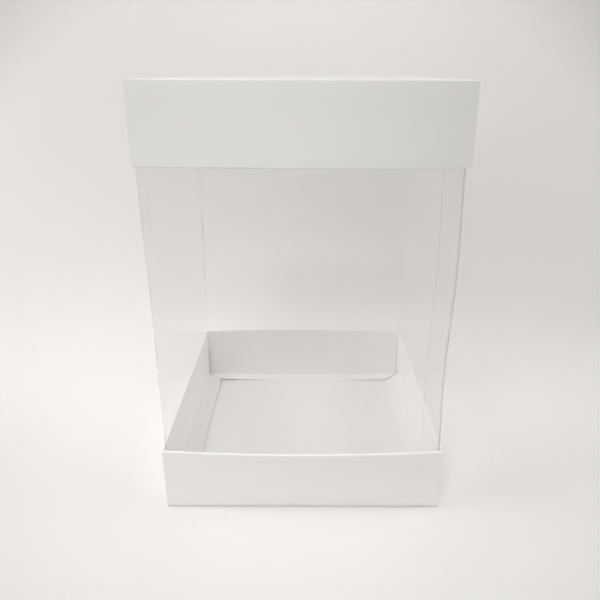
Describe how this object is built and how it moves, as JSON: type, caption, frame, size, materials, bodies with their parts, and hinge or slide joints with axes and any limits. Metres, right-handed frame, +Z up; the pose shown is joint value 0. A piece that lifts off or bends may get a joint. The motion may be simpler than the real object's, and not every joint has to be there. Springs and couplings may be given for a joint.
{
  "type": "clear sleeve cake box",
  "caption": "Tall square box: a clear film sleeve stands in a shallow folded white board tray, and a deep folded board lid drops over its top.",
  "frame": {"origin": "middle of the tray's flat underside, on the surface that the box stands on", "axes": "+Z up through the lid, +Y from the pictured front to the back, +X to the viewer's right"},
  "size_m": [0.2048, 0.2148, 0.3023],
  "materials": {
    "white_board": "satin",
    "clear_film": "gloss",
    "clear_glue": "gloss",
    "double_sided_tape": "satin"
  },
  "bodies": {
    "tray": {"base_tray": "white_board", "tray_tape_front": "double_sided_tape", "tray_tape_back": "double_sided_tape", "tray_tape_left": "double_sided_tape", "tray_tape_right": "double_sided_tape"},
    "sleeve": {"clear_sleeve": "clear_film", "sleeve_seam_glue": "clear_glue"},
    "lid": {"lift_off_lid": "white_board", "lid_tape_front": "double_sided_tape", "lid_tape_back": "double_sided_tape", "lid_tape_left": "double_sided_tape", "lid_tape_right": "double_sided_tape"}
  },
  "joints": [
    {"name": "sleeve_lift", "type": "slide", "parent": "tray", "child": "sleeve", "axis": [0, 0, 1], "range_m": [0, 0.06]},
    {"name": "lid_lift", "type": "slide", "parent": "sleeve", "child": "lid", "axis": [0, 0, 1], "range_m": [0, 0.06]}
  ]
}
